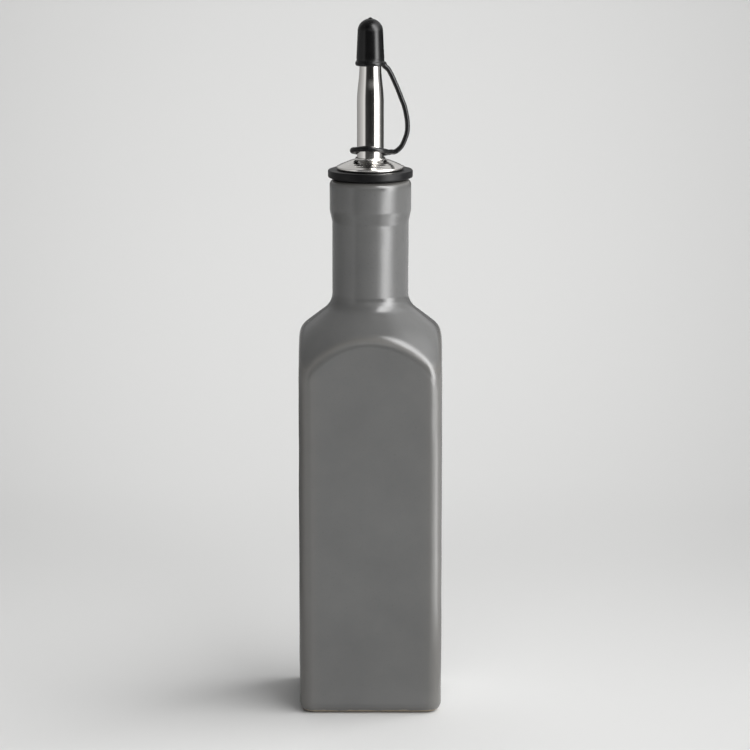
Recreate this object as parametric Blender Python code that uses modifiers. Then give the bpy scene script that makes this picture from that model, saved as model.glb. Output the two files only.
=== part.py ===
"""A square glazed oil bottle with a steel pouring spout, a rubber stopper and a rubber cap on a strap.

Lengths are metres and +Z is up. The origin is the middle of the foot, on the surface that the bottle
stands on. The front face looks along -Y, and the strap bows out along +X.
"""

import math

import bpy
import numpy as np
from mathutils import Vector

# Bottle body: a square prism whose top is cut by a turned shoulder, so that each face ends in an arch
BODY_WIDTH = 0.0620
BODY_CORNER_RADIUS = 0.0060
BODY_WALL = 0.0050
INNER_CORNER_RADIUS = 0.0040
FLOOR_THICKNESS = 0.0065
INNER_FLOOR_FILLET = 0.0060

# Foot: a flat unglazed band round a shallow recess
FOOT_FILLET_HEIGHT = 0.0048
FOOT_FILLET_INSET = 0.0036
FOOT_CORNER_RADIUS = 0.0035
FOOT_BAND_WIDTH = 0.0040
FOOT_RECESS_DEPTH = 0.0016
FOOT_RECESS_SLOPE = 0.0012

# Shoulder: from the neck a hollow fillet, a straight cone and a round arc that ends upright
SHOULDER_ARC_HEIGHT = 0.1283
SHOULDER_ARC_RADIUS = 0.0520
SHOULDER_RADIUS = 0.0472
SHOULDER_FALL = math.radians(37.5)
SHOULDER_TAIL = 0.0060
NECK_FILLET_RADIUS = 0.0090
ARCH_SOFTENING = 0.0034

# Neck and lip band
NECK_RADIUS = 0.0166
NECK_WALL = 0.0050
LIP_RADIUS = 0.0177
LIP_TOP_HEIGHT = 0.2315
LIP_BAND_HEIGHT = 0.0125
LIP_STEP_HEIGHT = 0.0068
LIP_OUTER_EDGE = 0.0024
LIP_INNER_EDGE = 0.0010

# Gap between a piece and what it is seated on or slides in
FIT_GAP = 0.0003

# Stopper: a disc with a step under it, and a ribbed plug in the mouth
DISC_RADIUS = 0.0184
DISC_THICKNESS = 0.0033
DISC_EDGE = 0.0006
DISC_STEP_RADIUS = 0.0163
DISC_STEP_HEIGHT = 0.0005
PLUG_LENGTH = 0.0270
PLUG_CORE_RADIUS = 0.0090
PLUG_END_CHAMFER = 0.0010
RIB_COUNT = 4
RIB_THICKNESS = 0.0011
RIB_ROOT_THICKNESS = 0.0022
RIB_TAPER = 0.0006

# Steel plate on the disc: a shallow dome that ends in a short collar round the tube
PLATE_RADIUS = 0.0146
PLATE_THICKNESS = 0.0007
PLATE_RIM_HEIGHT = 0.0011
PLATE_RISE = 0.0031
DOME_POWER = 1.3
COLLAR_HEIGHT = 0.0008
COLLAR_WALL = 0.0004

# Steel spout tube
TUBE_RADIUS = 0.0058
TUBE_WALL = 0.0006
TUBE_TAPER_START = 0.0246
TUBE_TAPER_LENGTH = 0.0160
TUBE_NECK_RADIUS = 0.0047
TUBE_TIP_LENGTH = 0.0130
TUBE_TIP_RADIUS = 0.0044
TIP_CUT_ANGLE = math.radians(24)
TUBE_FLARE_HEIGHT = 0.0014
TUBE_FLARE_WIDTH = 0.0011

# Air tube inside the spout tube: from below its foot to a little above the start of its taper
AIR_TUBE_RADIUS = 0.0015
AIR_TUBE_WALL = 0.0005
AIR_TUBE_RISE = 0.0029
AIR_TUBE_DROP = 0.0115

# Rubber cap over the tip
CAP_BEAD_RADIUS = 0.00655
CAP_BEAD_HEIGHT = 0.0018
CAP_FOOT_RADIUS = 0.0061
CAP_TOP_RADIUS = 0.0055
CAP_SIDE_HEIGHT = 0.0147
CAP_ROOF_THICKNESS = 0.0018
CAP_NIPPLE_RADIUS = 0.0010
CAP_NIPPLE_HEIGHT = 0.0005

# Hollow of the cap above the tip: each pair is a share of its radius and a share of the way up
CAP_HOLLOW_SHARES = ((1, 0), (0.85, 0.6), (0.5, 0.93), (0, 1))

# Ring round the tube and the strap between it and the cap
CORD_RADIUS = 0.00095
RING_RADIUS = 0.00755
RING_TILT = math.radians(14)
RING_ABOVE_COLLAR = 0.0028

# Strap from the cap's bead to the ring: each pair is a share of the way down and a share of the bow
STRAP_BOW = 0.0076
STRAP_ROOT_OVERHANG = 0.00075
STRAP_SHARES = (
    (0, 0),
    (0.06, 0.19),
    (0.22, 0.41),
    (0.40, 0.73),
    (0.58, 0.95),
    (0.72, 1),
    (0.84, 0.87),
    (0.93, 0.62),
    (0.985, 0.32),
    (1.005, 0.14),
    (1, 0),
)

# Counts and a length that overruns what it cuts
FACE_COLUMNS = 8
CORNER_COLUMNS = 4
SHOULDER_ROWS = 22
INNER_SHOULDER_ROWS = 11
TURN_STEPS = 32
SMALL_TURN_STEPS = 16
CORD_STEPS = 8
CUT_OVERRUN = 0.0100
MERGE_DISTANCE = 0.00001

# Places that follow from the sizes above
HALF_WIDTH = BODY_WIDTH / 2
BORE_RADIUS = NECK_RADIUS - NECK_WALL
DISC_STEP_BOTTOM = LIP_TOP_HEIGHT + FIT_GAP
DISC_BOTTOM = DISC_STEP_BOTTOM + DISC_STEP_HEIGHT
DISC_TOP = DISC_BOTTOM + DISC_THICKNESS
PLUG_BOTTOM = DISC_STEP_BOTTOM - PLUG_LENGTH
TUBE_HOLE_RADIUS = TUBE_RADIUS + FIT_GAP
PLATE_BOTTOM = DISC_TOP + FIT_GAP
PLATE_TOP = PLATE_BOTTOM + PLATE_RIM_HEIGHT + PLATE_RISE
COLLAR_TOP = PLATE_TOP + COLLAR_HEIGHT
TAPER_BOTTOM = PLATE_TOP + TUBE_TAPER_START
TAPER_TOP = TAPER_BOTTOM + TUBE_TAPER_LENGTH
TIP_TOP = TAPER_TOP + TUBE_TIP_LENGTH
TUBE_BOTTOM = PLUG_BOTTOM - FIT_GAP - TUBE_FLARE_HEIGHT
AIR_TUBE_BOTTOM = TUBE_BOTTOM - AIR_TUBE_DROP
AIR_TUBE_LENGTH = TAPER_BOTTOM + AIR_TUBE_RISE - AIR_TUBE_BOTTOM
AIR_TUBE_OFFSET = TUBE_RADIUS - TUBE_WALL - FIT_GAP - AIR_TUBE_RADIUS
CAP_BOTTOM = TAPER_TOP
RING_CENTRE = COLLAR_TOP + RING_ABOVE_COLLAR


def clear_scene():
    for item in list(bpy.data.objects):
        bpy.data.objects.remove(item, do_unlink=True)


def collection(name):
    made = bpy.data.collections.new(name)
    bpy.context.scene.collection.children.link(made)
    return made


def material(name, colour, roughness, metallic=0.0):
    made = bpy.data.materials.new(name)
    made.use_nodes = True
    shader = made.node_tree.nodes["Principled BSDF"]
    shader.inputs["Base Color"].default_value = (*colour, 1)
    shader.inputs["Roughness"].default_value = roughness
    shader.inputs["Metallic"].default_value = metallic
    return made


def empty(name, parent, height, parts):
    """An empty on the bottle's axis, height metres above its parent."""
    made = bpy.data.objects.new(name, None)
    made.location.z = height
    made.parent = parent
    parts.objects.link(made)
    return made


def add_object(name, data, finish, parts, parent=None):
    made = bpy.data.objects.new(name, data)
    data.materials.append(finish)
    made.parent = parent
    parts.objects.link(made)
    return made


def eased(share):
    """0 to 1 along a cosine, level at both ends."""
    return (1 - math.cos(math.pi * share)) / 2


def square_radius(angles, half, corner):
    """Distance from the axis to a square with rounded corners, along each angle."""
    folded = np.abs((angles + math.pi / 4) % (math.pi / 2) - math.pi / 4)
    centre = half - corner
    along = centre * (np.cos(folded) + np.sin(folded))
    on_corner = along + np.sqrt(np.maximum(along**2 - 2 * centre**2 + corner**2, 0))
    return np.where(half * np.tan(folded) <= centre, half / np.cos(folded), on_corner)


def soft_lesser(a, b, width):
    """The lesser of two lengths, rounded off where they differ by less than width."""
    near = np.maximum(width - np.abs(a - b), 0) / width
    return np.minimum(a, b) - near**2 * width / 4


def shoulder_turn(inset):
    """The shoulder's two arcs, set in by inset from the outer surface: for each its centre's radius
    and height, and its own radius. The cone between them touches both."""
    across, up = math.sin(SHOULDER_FALL), math.cos(SHOULDER_FALL)
    arc_centre = SHOULDER_RADIUS - SHOULDER_ARC_RADIUS
    fillet_centre = NECK_RADIUS + NECK_FILLET_RADIUS
    reach = SHOULDER_ARC_RADIUS + NECK_FILLET_RADIUS + across * (arc_centre - fillet_centre)
    fillet_height = SHOULDER_ARC_HEIGHT + reach / up
    arc = (arc_centre, SHOULDER_ARC_HEIGHT, SHOULDER_ARC_RADIUS - inset)
    fillet = (fillet_centre, fillet_height, NECK_FILLET_RADIUS + inset)
    return arc, fillet


def shoulder_radius(height, inset):
    """Radius of the turned shoulder and neck at one height, for a surface set in by inset."""
    arc, fillet = shoulder_turn(inset)
    up = math.cos(SHOULDER_FALL)
    cone_top = fillet[1] - fillet[2] * up
    cone_bottom = arc[1] + arc[2] * up
    if height >= fillet[1]:
        return fillet[0] - fillet[2]
    if height >= cone_top:
        return fillet[0] - math.sqrt(fillet[2] ** 2 - (fillet[1] - height) ** 2)
    if height >= cone_bottom:
        top_radius = fillet[0] - fillet[2] * math.sin(SHOULDER_FALL)
        return top_radius + (cone_top - height) / math.tan(SHOULDER_FALL)
    if height >= arc[1]:
        return arc[0] + math.sqrt(arc[2] ** 2 - (height - arc[1]) ** 2)
    return arc[0] + arc[2] + (arc[1] - height) ** 2 / (2 * SHOULDER_ARC_RADIUS)


def column_angles():
    """Directions of the bottle's columns: even steps across each face and round each corner."""
    corner_start = math.atan((HALF_WIDTH - BODY_CORNER_RADIUS) / HALF_WIDTH)
    face = np.linspace(-corner_start, corner_start, FACE_COLUMNS, endpoint=False)
    corner = np.linspace(corner_start, math.pi / 2 - corner_start, CORNER_COLUMNS, endpoint=False)
    side = np.concatenate([face, corner])
    return np.concatenate([side + quarter * math.pi / 2 for quarter in range(4)])


def square_row(angles, height, inset, corner):
    """One row of the bottle's surface on the rounded square, set in from the body's faces."""
    return square_radius(angles, HALF_WIDTH - inset, corner), height


def shoulder_row(angles, height, inset, corner):
    """One row where the square and the turned shoulder cut each other off."""
    square = square_radius(angles, HALF_WIDTH - inset, corner)
    return soft_lesser(square, shoulder_radius(height, inset), ARCH_SOFTENING), height


def round_row(angles, height, radius):
    return np.full(len(angles), radius), height


def inner_rows(angles):
    """Rows from the cavity's floor up to the mouth's inner edge."""
    floor = FLOOR_THICKNESS
    rows = []
    for step in range(4):
        turn = step / 3 * math.pi / 2
        inset = BODY_WALL + INNER_FLOOR_FILLET * (1 - math.sin(turn))
        rise = INNER_FLOOR_FILLET * (1 - math.cos(turn))
        rows.append(square_row(angles, floor + rise, inset, INNER_CORNER_RADIUS))
    _, fillet = shoulder_turn(BODY_WALL)
    low = SHOULDER_ARC_HEIGHT - SHOULDER_TAIL
    cone_top = fillet[1] - fillet[2] * math.cos(SHOULDER_FALL)
    for height in np.linspace(low, cone_top, INNER_SHOULDER_ROWS):
        rows.append(shoulder_row(angles, height, BODY_WALL, INNER_CORNER_RADIUS))
    neck_step = fillet[0] - fillet[2] - BORE_RADIUS
    for height in np.linspace(cone_top, fillet[1], 4)[1:]:
        rows.append(round_row(angles, height, shoulder_radius(height, BODY_WALL) - neck_step))
    rows.append(round_row(angles, LIP_TOP_HEIGHT - LIP_INNER_EDGE, BORE_RADIUS))
    return rows


def lip_rows(angles):
    """Rows over the lip's flat top, round its outer edge, down its band and in to the neck."""
    rows = [round_row(angles, LIP_TOP_HEIGHT, BORE_RADIUS + LIP_INNER_EDGE)]
    for step in range(5):
        turn = step / 4 * math.pi / 2
        radius = LIP_RADIUS - LIP_OUTER_EDGE * (1 - math.sin(turn))
        drop = LIP_OUTER_EDGE * (1 - math.cos(turn))
        rows.append(round_row(angles, LIP_TOP_HEIGHT - drop, radius))
    band_bottom = LIP_TOP_HEIGHT - LIP_BAND_HEIGHT
    for step in range(6):
        share = step / 5
        radius = LIP_RADIUS + (NECK_RADIUS - LIP_RADIUS) * eased(share)
        rows.append(round_row(angles, band_bottom - LIP_STEP_HEIGHT * share, radius))
    return rows


def outer_rows(angles):
    """Rows down the neck, the shoulder and the body to the foot's outer edge."""
    rows = []
    _, fillet = shoulder_turn(0)
    cone_top = fillet[1] - fillet[2] * math.cos(SHOULDER_FALL)
    for step in range(4):
        turn = step / 4 * (math.pi / 2 - SHOULDER_FALL)
        height = fillet[1] - fillet[2] * math.sin(turn)
        rows.append(round_row(angles, height, shoulder_radius(height, 0)))
    for height in np.linspace(cone_top, SHOULDER_ARC_HEIGHT, SHOULDER_ROWS):
        rows.append(shoulder_row(angles, height, 0, BODY_CORNER_RADIUS))
    for step in range(1, 4):
        height = SHOULDER_ARC_HEIGHT - SHOULDER_TAIL * step / 3
        rows.append(shoulder_row(angles, height, 0, BODY_CORNER_RADIUS))
    for step in range(5):
        turn = step / 4 * math.pi / 2
        height = FOOT_FILLET_HEIGHT * (1 - math.sin(turn))
        share = 1 - math.cos(turn)
        corner = BODY_CORNER_RADIUS + (FOOT_CORNER_RADIUS - BODY_CORNER_RADIUS) * share
        rows.append(square_row(angles, height, FOOT_FILLET_INSET * share, corner))
    return rows


def foot_rows(angles):
    """Rows across the foot's flat band and up into the recess."""
    band_end = FOOT_FILLET_INSET + FOOT_BAND_WIDTH
    recess = band_end + FOOT_RECESS_SLOPE
    return [
        square_row(angles, 0, band_end, FOOT_CORNER_RADIUS),
        square_row(angles, FOOT_RECESS_DEPTH, recess, FOOT_CORNER_RADIUS),
    ]


def loft(name, angles, rows, first_pole, last_pole):
    """A closed mesh through rows of points, each end closed by a fan to a point on the axis."""
    count = len(angles)
    points = [(0, 0, first_pole)]
    for radii, height in rows:
        points += [
            (radius * math.cos(angle), radius * math.sin(angle), height)
            for radius, angle in zip(radii, angles)
        ]
    points.append((0, 0, last_pole))
    around = [(column, (column + 1) % count) for column in range(count)]
    last = len(points) - 1
    last_row = 1 + (len(rows) - 1) * count
    faces = [(0, 1 + here, 1 + there) for here, there in around]
    for row in range(len(rows) - 1):
        low = 1 + row * count
        high = low + count
        faces += [(low + there, low + here, high + here, high + there) for here, there in around]
    faces += [(last_row + there, last_row + here, last) for here, there in around]
    made = bpy.data.meshes.new(name)
    made.from_pydata(points, [], faces)
    made.shade_smooth()
    made.set_sharp_from_angle(angle=math.radians(40))
    return made


def turned(name, profile, finish, parts, parent=None, steps=TURN_STEPS):
    """A turned piece from a closed profile of (radius, height) that runs down its outer side."""
    points = [(radius, 0, height) for radius, height in profile]
    count = len(points)
    on_axis = profile[0][0] == 0 and profile[-1][0] == 0
    edges = [(here, here + 1) for here in range(count - 1)]
    if not on_axis:
        edges.append((count - 1, 0))
    made = bpy.data.meshes.new(name)
    made.from_pydata(points, edges, [])
    piece = add_object(name, made, finish, parts, parent)
    screw = piece.modifiers.new("turn", "SCREW")
    screw.steps = steps
    screw.render_steps = steps
    screw.use_merge_vertices = True
    screw.merge_threshold = MERGE_DISTANCE
    screw.use_smooth_shade = True
    return piece


def arc(centre, radius, start, end, steps):
    """Points (radius, height) along an arc; angles are from the outward direction, up positive."""
    return [
        (centre[0] + radius * math.cos(angle), centre[1] + radius * math.sin(angle))
        for angle in np.linspace(start, end, steps + 1)
    ]


def lowered(profile, base):
    """The same profile with its heights measured from base."""
    return [(radius, height - base) for radius, height in profile]


def make_bottle(finish, parts):
    angles = column_angles()
    rows = inner_rows(angles) + lip_rows(angles) + outer_rows(angles) + foot_rows(angles)
    made = loft("bottle", angles, rows, FLOOR_THICKNESS, FOOT_RECESS_DEPTH)
    return add_object("bottle", made, finish, parts)


def rib_profile(index):
    """One rib of the plug, from its root above to its root below."""
    pitch = (PLUG_LENGTH - PLUG_END_CHAMFER) / RIB_COUNT
    middle = DISC_STEP_BOTTOM - pitch * index - pitch / 2
    reach = BORE_RADIUS - FIT_GAP - RIB_TAPER * index / (RIB_COUNT - 1)
    return [
        (PLUG_CORE_RADIUS, middle + RIB_ROOT_THICKNESS / 2),
        (reach, middle + RIB_THICKNESS / 2),
        (reach, middle - RIB_THICKNESS / 2),
        (PLUG_CORE_RADIUS, middle - RIB_ROOT_THICKNESS / 2),
    ]


def make_stopper(finish, parts, parent):
    profile = [(TUBE_HOLE_RADIUS, DISC_TOP)]
    corner = DISC_RADIUS - DISC_EDGE
    profile += arc((corner, DISC_TOP - DISC_EDGE), DISC_EDGE, math.pi / 2, 0, 3)
    profile += arc((corner, DISC_BOTTOM + DISC_EDGE), DISC_EDGE, 0, -math.pi / 2, 3)
    profile += [(DISC_STEP_RADIUS, DISC_BOTTOM), (DISC_STEP_RADIUS, DISC_STEP_BOTTOM)]
    profile.append((PLUG_CORE_RADIUS, DISC_STEP_BOTTOM))
    for index in range(RIB_COUNT):
        profile += rib_profile(index)
    profile.append((PLUG_CORE_RADIUS, PLUG_BOTTOM + PLUG_END_CHAMFER))
    profile.append((PLUG_CORE_RADIUS - PLUG_END_CHAMFER, PLUG_BOTTOM))
    profile.append((TUBE_HOLE_RADIUS, PLUG_BOTTOM))
    return turned("stopper", lowered(profile, LIP_TOP_HEIGHT), finish, parts, parent)


def dome_height(radius):
    """Height of the plate's upper face: level at the collar, steeper towards the rim."""
    start = TUBE_HOLE_RADIUS + COLLAR_WALL
    share = (radius - start) / (PLATE_RADIUS - start)
    return PLATE_TOP - PLATE_RISE * share**DOME_POWER


def make_flange_plate(finish, parts, parent):
    start = TUBE_HOLE_RADIUS + COLLAR_WALL
    radii = np.linspace(start, PLATE_RADIUS, 8)
    upper = [(radius, dome_height(radius)) for radius in radii]
    rim_inner = PLATE_RADIUS - PLATE_THICKNESS
    below = [
        (min(radius, rim_inner), dome_height(radius) - PLATE_THICKNESS)
        for radius in reversed(radii)
    ]
    profile = [(TUBE_HOLE_RADIUS, COLLAR_TOP), (start, COLLAR_TOP)]
    profile += upper
    profile += [(PLATE_RADIUS, PLATE_BOTTOM), (rim_inner, PLATE_BOTTOM)]
    profile += below
    profile.append((TUBE_HOLE_RADIUS, PLATE_TOP - PLATE_THICKNESS))
    return turned("flange_plate", lowered(profile, DISC_TOP), finish, parts, parent)


def tube_side():
    """The tube's outer side from its tip down to its flared end."""
    side = [(TUBE_TIP_RADIUS, TIP_TOP)]
    for step in range(7):
        share = step / 6
        radius = TUBE_NECK_RADIUS + (TUBE_RADIUS - TUBE_NECK_RADIUS) * eased(share)
        side.append((radius, TAPER_TOP - TUBE_TAPER_LENGTH * share))
    flare_top = TUBE_BOTTOM + TUBE_FLARE_HEIGHT
    side.append((TUBE_RADIUS, flare_top))
    side.append((TUBE_RADIUS + TUBE_FLARE_WIDTH * 0.7, TUBE_BOTTOM + TUBE_FLARE_HEIGHT * 0.5))
    side.append((TUBE_RADIUS + TUBE_FLARE_WIDTH, TUBE_BOTTOM))
    return side


def make_spout_tube(finish, parts, parent, cutters):
    outer = tube_side()
    inner = [(radius - TUBE_WALL, height) for radius, height in reversed(outer)]
    piece = turned("spout_tube", lowered(outer + inner, DISC_TOP), finish, parts, parent)
    bpy.ops.mesh.primitive_cube_add(size=CUT_OVERRUN * 2)
    cutter = bpy.context.object
    cutter.name = "tip_cutter"
    for owner in list(cutter.users_collection):
        owner.objects.unlink(cutter)
    cutters.objects.link(cutter)
    cutter.parent = parent
    cutter.rotation_euler.x = TIP_CUT_ANGLE
    lean = TUBE_TIP_RADIUS * math.tan(TIP_CUT_ANGLE)
    lift = CUT_OVERRUN / math.cos(TIP_CUT_ANGLE)
    cutter.location.z = TIP_TOP - DISC_TOP - lean + lift
    cutter.hide_render = True
    cutter.display_type = "WIRE"
    cut = piece.modifiers.new("slanted tip", "BOOLEAN")
    cut.operation = "DIFFERENCE"
    cut.object = cutter
    return piece


def make_air_tube(finish, parts, parent):
    inner = AIR_TUBE_RADIUS - AIR_TUBE_WALL
    profile = [
        (AIR_TUBE_RADIUS, AIR_TUBE_LENGTH),
        (AIR_TUBE_RADIUS, 0),
        (inner, 0),
        (inner, AIR_TUBE_LENGTH),
    ]
    piece = turned("air_tube", profile, finish, parts, parent, SMALL_TURN_STEPS)
    piece.location = (0, AIR_TUBE_OFFSET, AIR_TUBE_BOTTOM - DISC_TOP)
    return piece


def cap_outside():
    """The cap's outer side from the middle of its nipple down to its rim."""
    side_top = CAP_BOTTOM + CAP_SIDE_HEIGHT
    dome_top = side_top + CAP_TOP_RADIUS
    side = [(0, dome_top + CAP_NIPPLE_HEIGHT)]
    side.append((CAP_NIPPLE_RADIUS * 0.7, dome_top + CAP_NIPPLE_HEIGHT * 0.8))
    nipple_turn = math.acos(CAP_NIPPLE_RADIUS / CAP_TOP_RADIUS)
    side += arc((0, side_top), CAP_TOP_RADIUS, nipple_turn, 0, 7)
    bead_middle = CAP_BOTTOM + CAP_BEAD_HEIGHT / 2
    side.append((CAP_FOOT_RADIUS, CAP_BOTTOM + CAP_BEAD_HEIGHT))
    depth = CAP_BEAD_RADIUS - CAP_FOOT_RADIUS
    for turn in np.linspace(math.pi / 3, -math.pi / 3, 4):
        height = bead_middle + CAP_BEAD_HEIGHT / 2 * math.sin(turn)
        side.append((CAP_FOOT_RADIUS + depth * math.cos(turn), height))
    side.append((CAP_FOOT_RADIUS, CAP_BOTTOM))
    return side


def cap_inside():
    """The cap's hollow from its rim up to the middle of its roof."""
    roof = CAP_BOTTOM + CAP_SIDE_HEIGHT + CAP_TOP_RADIUS - CAP_ROOF_THICKNESS
    tip_radius = TUBE_TIP_RADIUS + FIT_GAP
    side = [(TUBE_NECK_RADIUS + FIT_GAP, CAP_BOTTOM)]
    for across, up in CAP_HOLLOW_SHARES:
        side.append((tip_radius * across, TIP_TOP + (roof - TIP_TOP) * up))
    return side


def make_cap(finish, parts, parent):
    profile = lowered(cap_outside() + cap_inside(), CAP_BOTTOM)
    return turned("cap", profile, finish, parts, parent, TURN_STEPS)


def make_ring(finish, parts, parent):
    bpy.ops.mesh.primitive_torus_add(
        major_radius=RING_RADIUS,
        minor_radius=CORD_RADIUS,
        major_segments=TURN_STEPS,
        minor_segments=CORD_STEPS,
    )
    piece = bpy.context.object
    piece.name = "tether_ring"
    piece.data.materials.append(finish)
    for owner in list(piece.users_collection):
        owner.objects.unlink(piece)
    parts.objects.link(piece)
    piece.parent = parent
    piece.rotation_euler.x = -RING_TILT
    piece.data.shade_smooth()
    return piece


def strap_route():
    """The strap's middle line in the XZ plane, from the cap's bead to the ring's right side."""
    start_out = CAP_BEAD_RADIUS + STRAP_ROOT_OVERHANG
    start_height = CAP_BOTTOM + FIT_GAP
    end_out = RING_RADIUS + CORD_RADIUS + FIT_GAP
    return [
        Vector((
            start_out + (end_out - start_out) * down + STRAP_BOW * bow,
            0,
            start_height + (RING_CENTRE - start_height) * down,
        ))
        for down, bow in STRAP_SHARES
    ]


def smooth_line(points, steps):
    """Points on a Catmull-Rom curve through the given ones, steps to each of its stretches."""
    ends = [2 * points[0] - points[1], *points, 2 * points[-1] - points[-2]]
    line = []
    for a, b, c, d in zip(ends, ends[1:], ends[2:], ends[3:]):
        for step in range(steps):
            t = step / steps
            straight = 2 * b + (c - a) * t
            bend = (2 * a - 5 * b + 4 * c - d) * t**2
            twist = (3 * b - a - 3 * c + d) * t**3
            line.append((straight + bend + twist) / 2)
    return line + [points[-1]]


def make_strap(finish, parts, parent):
    line = smooth_line(strap_route(), 2)
    curve = bpy.data.curves.new("tether_strap", "CURVE")
    curve.dimensions = "3D"
    curve.bevel_depth = CORD_RADIUS
    curve.bevel_resolution = 2
    curve.use_fill_caps = True
    spline = curve.splines.new("POLY")
    spline.points.add(len(line) - 1)
    for point, place in zip(spline.points, line):
        point.co = (place.x, place.y, place.z - CAP_BOTTOM, 1)
    return add_object("tether_strap", curve, finish, parts, parent)


def main():
    clear_scene()
    parts = collection("pour_spout_bottle")
    cutters = collection("cutters")
    glaze = material("grey_glaze", (0.17, 0.17, 0.165), 0.3)
    rubber = material("black_rubber", (0.012, 0.012, 0.012), 0.5)
    steel = material("polished_steel", (0.72, 0.71, 0.69), 0.14, 1.0)

    make_bottle(glaze, parts)
    pourer = empty("pourer_axis", None, LIP_TOP_HEIGHT, parts)
    spout = empty("spout_axis", pourer, DISC_TOP - LIP_TOP_HEIGHT, parts)
    cap = empty("cap_axis", spout, CAP_BOTTOM - DISC_TOP, parts)
    ring = empty("ring_axis", cap, RING_CENTRE - CAP_BOTTOM, parts)
    make_stopper(rubber, parts, pourer)
    make_flange_plate(steel, parts, spout)
    make_spout_tube(steel, parts, spout, cutters)
    make_air_tube(steel, parts, spout)
    make_cap(rubber, parts, cap)
    make_strap(rubber, parts, cap)
    make_ring(rubber, parts, ring)


main()
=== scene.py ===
import math

import bpy
import numpy as np
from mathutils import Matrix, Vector


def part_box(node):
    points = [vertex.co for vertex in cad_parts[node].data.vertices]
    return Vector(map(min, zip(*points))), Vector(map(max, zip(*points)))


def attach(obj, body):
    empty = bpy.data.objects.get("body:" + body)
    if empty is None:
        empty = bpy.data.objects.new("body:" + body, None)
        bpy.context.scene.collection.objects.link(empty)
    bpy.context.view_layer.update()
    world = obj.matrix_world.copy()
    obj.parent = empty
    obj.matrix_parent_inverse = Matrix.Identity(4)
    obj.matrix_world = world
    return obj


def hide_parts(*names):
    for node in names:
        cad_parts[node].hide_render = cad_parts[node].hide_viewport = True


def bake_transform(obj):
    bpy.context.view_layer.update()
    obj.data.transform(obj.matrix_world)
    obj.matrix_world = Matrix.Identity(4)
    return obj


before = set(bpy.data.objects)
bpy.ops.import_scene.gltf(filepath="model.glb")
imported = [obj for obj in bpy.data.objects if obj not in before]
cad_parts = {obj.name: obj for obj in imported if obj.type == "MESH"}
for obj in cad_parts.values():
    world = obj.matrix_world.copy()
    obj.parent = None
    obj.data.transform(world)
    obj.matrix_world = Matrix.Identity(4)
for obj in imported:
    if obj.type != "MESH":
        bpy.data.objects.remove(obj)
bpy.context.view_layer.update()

FULL_TURN = 2 * math.pi
QUARTER_TURN = math.pi / 2

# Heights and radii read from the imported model, in metres
BOTTLE_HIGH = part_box("bottle")[1]
STOPPER_LOW, STOPPER_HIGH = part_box("stopper")
PLATE_LOW, PLATE_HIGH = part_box("flange_plate")
TUBE_LOW, TUBE_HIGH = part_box("spout_tube")
AIR_LOW, AIR_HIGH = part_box("air_tube")
CAP_LOW, CAP_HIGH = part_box("cap")
RING_LOW, RING_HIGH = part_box("tether_ring")

# Camera: the photograph's view, from in front and a little above
CAMERA_DISTANCE = 1.50
CAMERA_ELEVATION = math.radians(10.8)
CAMERA_AIM = Vector((0.0020, 0, 0.1449))
CAMERA_LENS_MM = 164.3

# Bottle body and foot
HALF_WIDTH = BOTTLE_HIGH.x
BODY_CORNER_RADIUS = 0.0060
BODY_WALL = 0.0050
INNER_CORNER_RADIUS = 0.0040
FLOOR_THICKNESS = 0.0065
INNER_FLOOR_FILLET = 0.0060
FOOT_FILLET_HEIGHT = 0.0048
FOOT_FILLET_INSET = 0.0036
FOOT_CORNER_RADIUS = 0.0035
FOOT_BAND_WIDTH = 0.0040
FOOT_RECESS_DEPTH = 0.0016
FOOT_RECESS_SLOPE = 0.0012

# Shoulder: a hollow fillet below the neck, a straight cone and a round arc that ends upright
SHOULDER_ARC_HEIGHT = 0.1283
SHOULDER_ARC_RADIUS = 0.0520
SHOULDER_RADIUS = 0.0472
SHOULDER_FALL = math.radians(37.5)
SHOULDER_TAIL = 0.0060
NECK_FILLET_RADIUS = 0.0090
ARCH_SOFTENING = 0.0034

# Neck and lip band
NECK_RADIUS = 0.0166
BORE_RADIUS = 0.0116
LIP_RADIUS = 0.0177
LIP_TOP = BOTTLE_HIGH.z
LIP_BAND_HEIGHT = 0.0125
LIP_STEP_HEIGHT = 0.0068
LIP_OUTER_EDGE = 0.0024
LIP_INNER_EDGE = 0.0010

# Unevenness of the fired clay: depth of the waves in its wall, and the height that one wave takes
WANDER_DEPTH = 0.00004
WANDER_PITCH = 0.0470

# Where the glaze runs thin: round the body's corners (an angle), and on the lip's edge (heights)
CORNER_BREAK_WIDTH = 0.11
CORNER_BREAK_SHARE = 0.8
LIP_BREAK_DROP = 0.0004
LIP_BREAK_WIDTH = 0.0011


def grid_faces(rows, columns, joined):
    """Four corners for each cell of a grid whose columns close on themselves, and whose last row is joined to
    its first where joined is set. A row that runs up an outer side gives faces that point outwards."""
    low = np.arange(rows if joined else rows - 1)[:, None]
    high = (low + 1) % rows
    here = np.arange(columns)[None, :]
    there = (here + 1) % columns
    corners = [low * columns + here, low * columns + there, high * columns + there, high * columns + here]
    return np.stack(corners, -1).reshape(-1, 4)


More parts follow.
